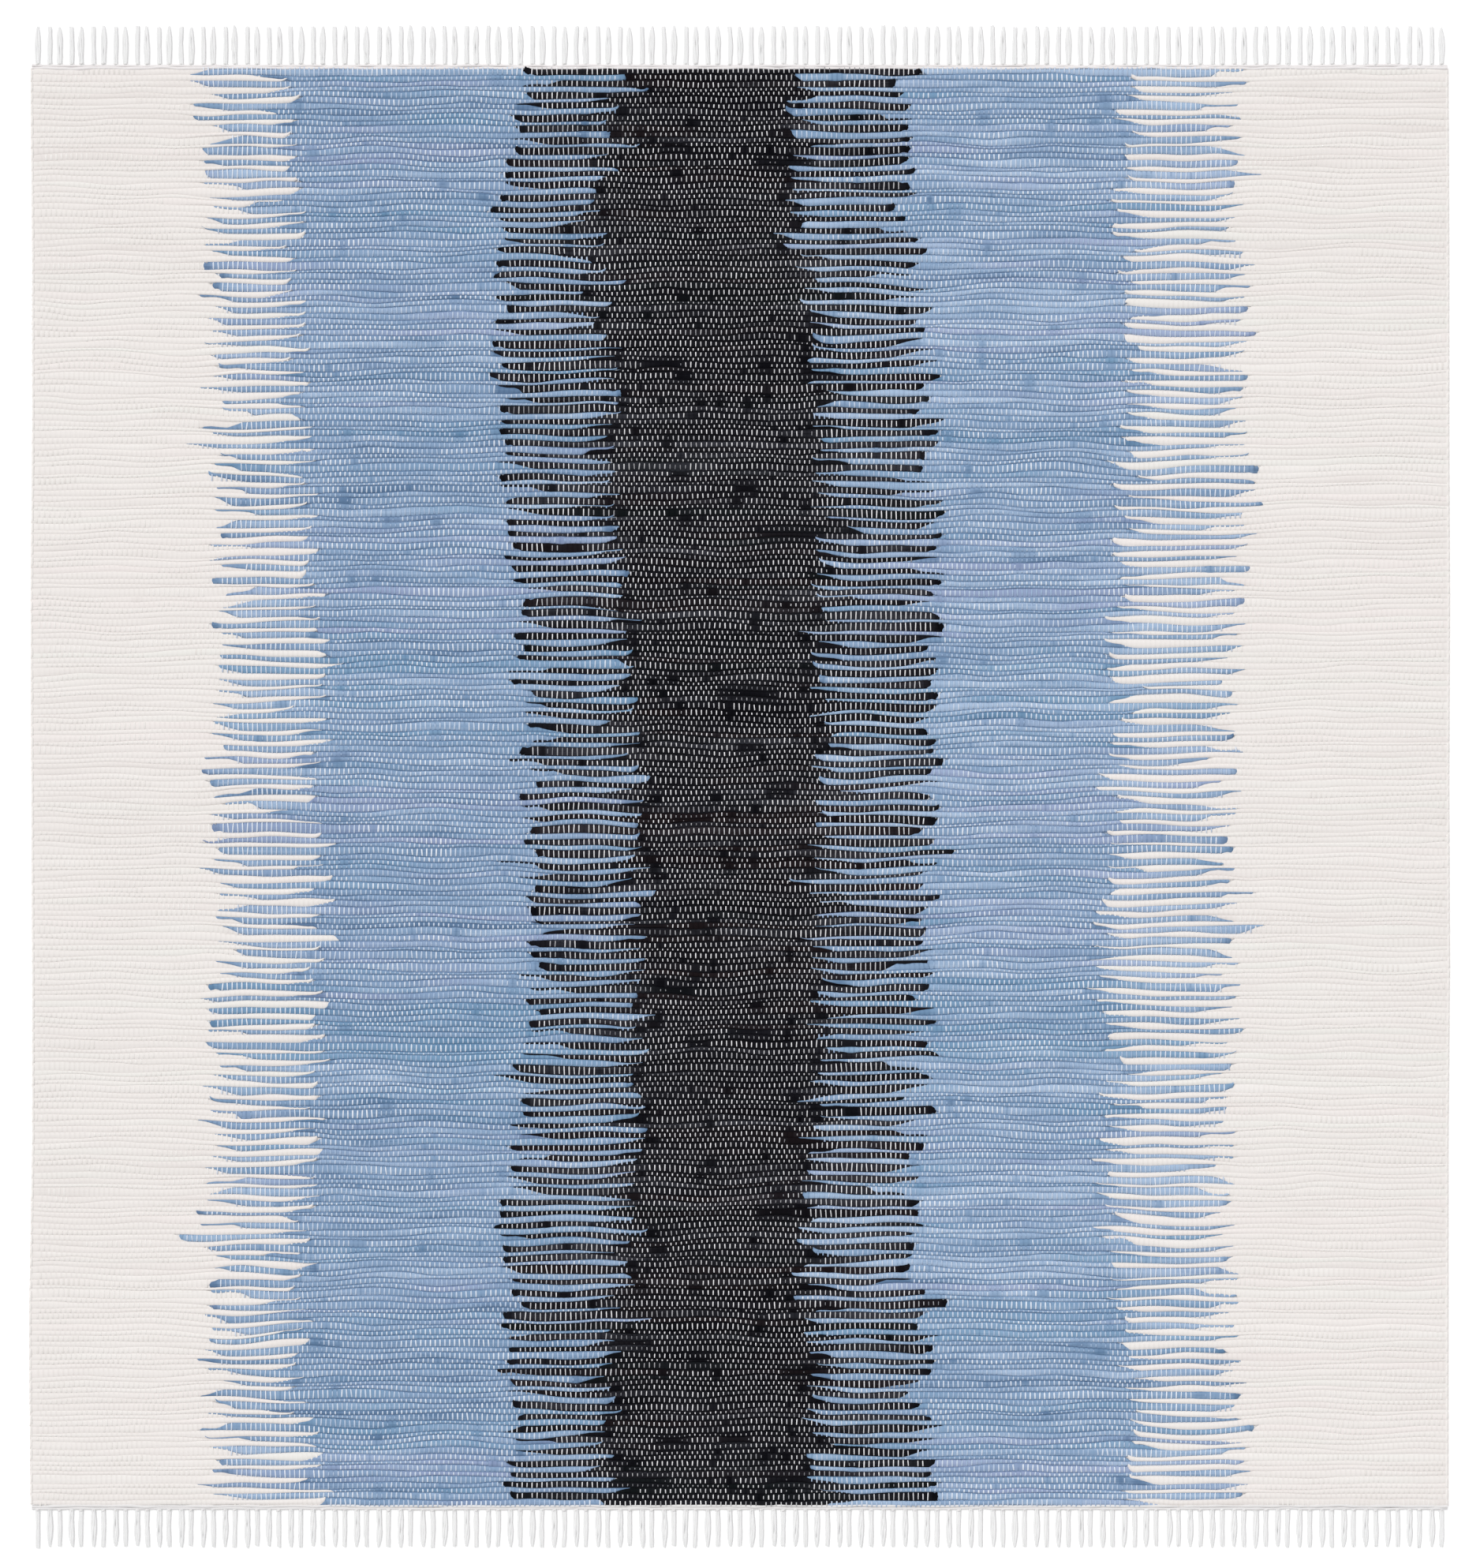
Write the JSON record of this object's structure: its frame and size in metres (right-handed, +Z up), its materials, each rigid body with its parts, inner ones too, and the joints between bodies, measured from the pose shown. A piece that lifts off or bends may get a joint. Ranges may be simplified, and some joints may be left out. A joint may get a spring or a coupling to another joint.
{
  "type": "handwoven cotton rug",
  "caption": "Flat square handwoven cotton rag rug with blue and black interlocked stripes on white, and a tied fringe at both ends.",
  "frame": {"origin": "centre of the rug's footprint, on the floor", "axes": "+Z up from the floor, +Y along the warp towards the far fringe, +X across the rug along the weft"},
  "size_m": [1.8334, 1.962, 0.006],
  "materials": {
    "rag_weft": "matt cotton rag strips, woven in blue, black and white stripes",
    "warp_cotton": "matt undyed cotton yarn"
  },
  "bodies": {
    "root": {"woven_cloth": "rag_weft", "far_fringe": "warp_cotton", "near_fringe": "warp_cotton"}
  },
  "joints": []
}
